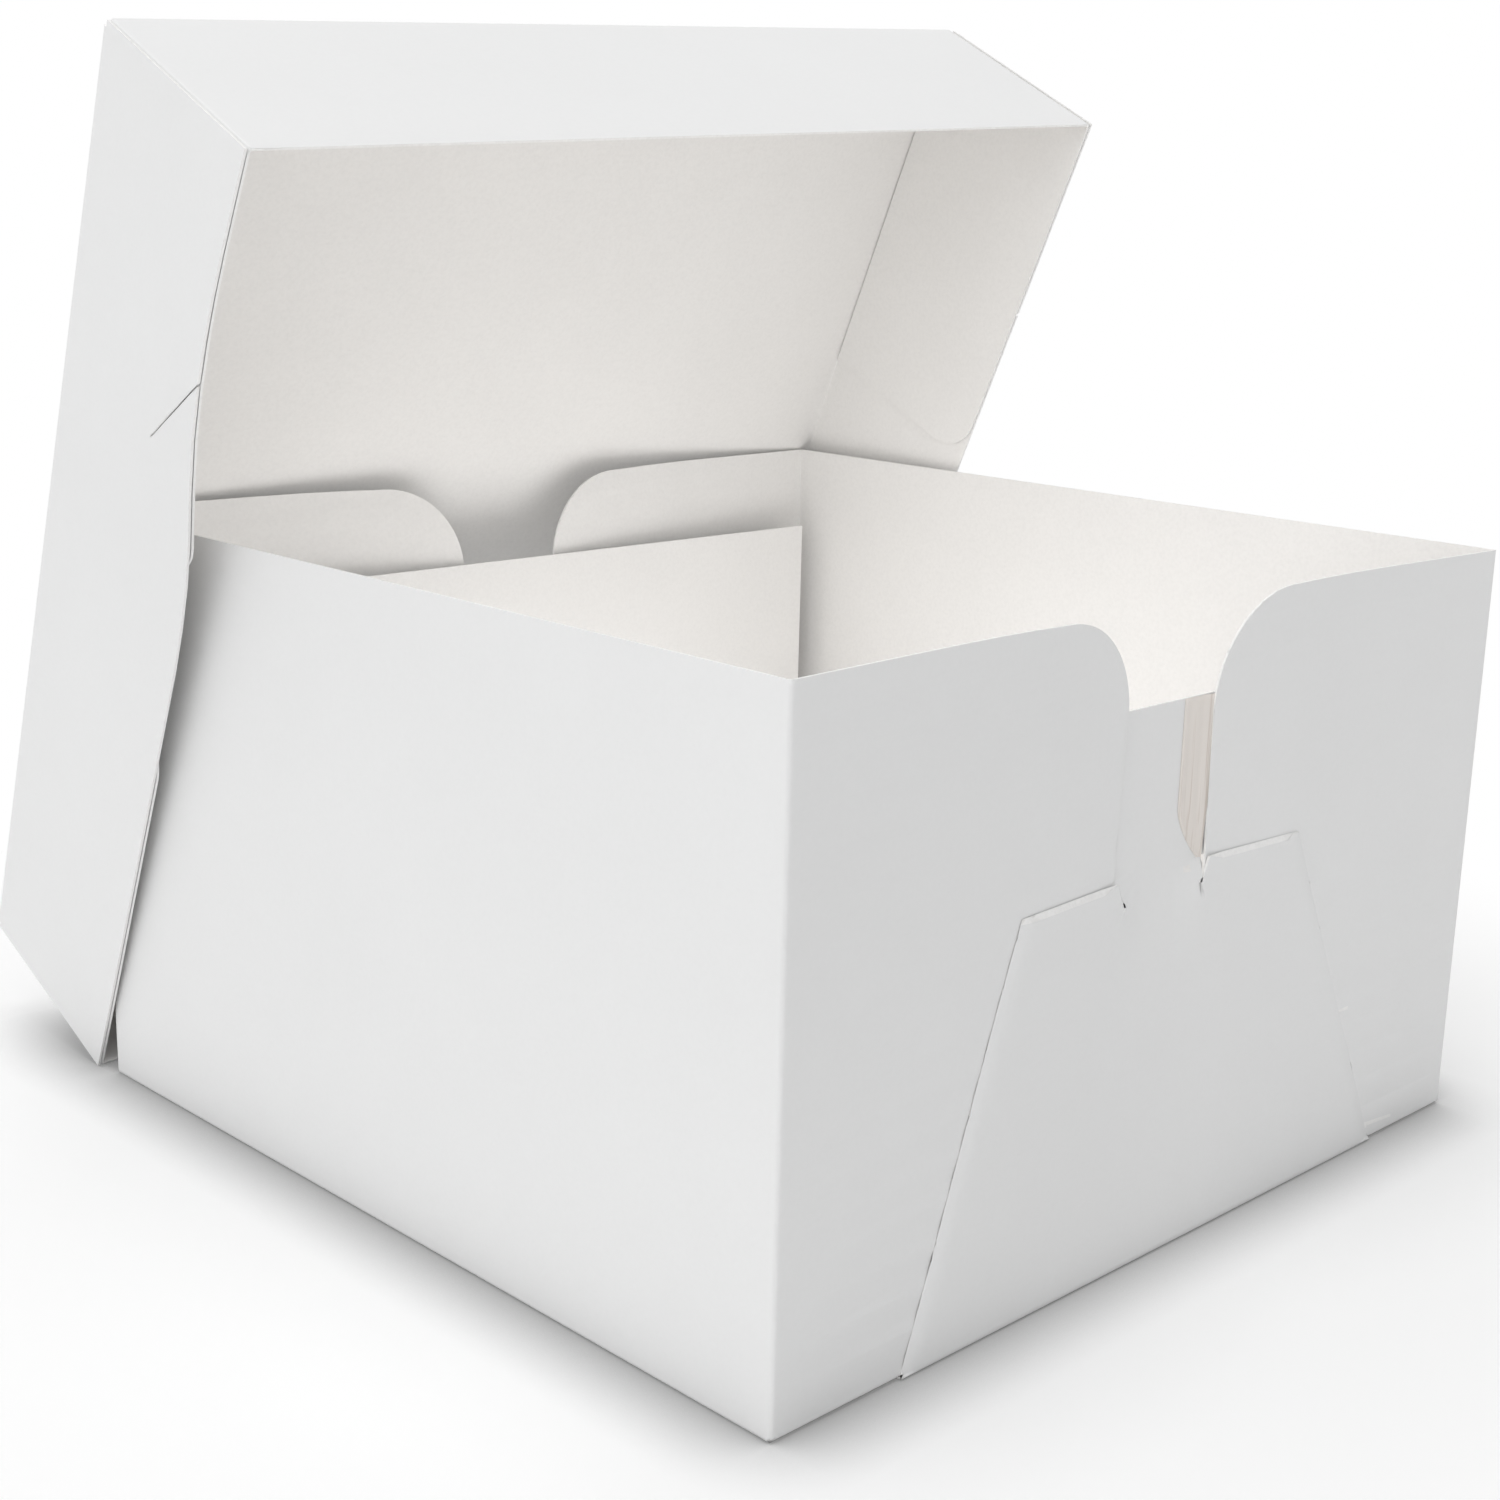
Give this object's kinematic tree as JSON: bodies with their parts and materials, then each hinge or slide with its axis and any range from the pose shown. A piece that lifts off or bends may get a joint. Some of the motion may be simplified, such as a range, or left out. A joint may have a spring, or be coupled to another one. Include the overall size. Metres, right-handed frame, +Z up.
{
  "type": "cake box",
  "caption": "Square cake box of folded white card: a deep open tray with locked end panels, and a shallow lid leaning on its back edge.",
  "frame": {"origin": "centre of the underside of the base tray", "axes": "+X along the front wall, +Y from the front wall towards the leaning lid, +Z up"},
  "size_m": [0.2848, 0.3151, 0.2821],
  "materials": {
    "base_card": "satin",
    "lid_card": "satin"
  },
  "bodies": {
    "root": {"base_tray": "base_card", "lid": "lid_card"}
  },
  "joints": []
}
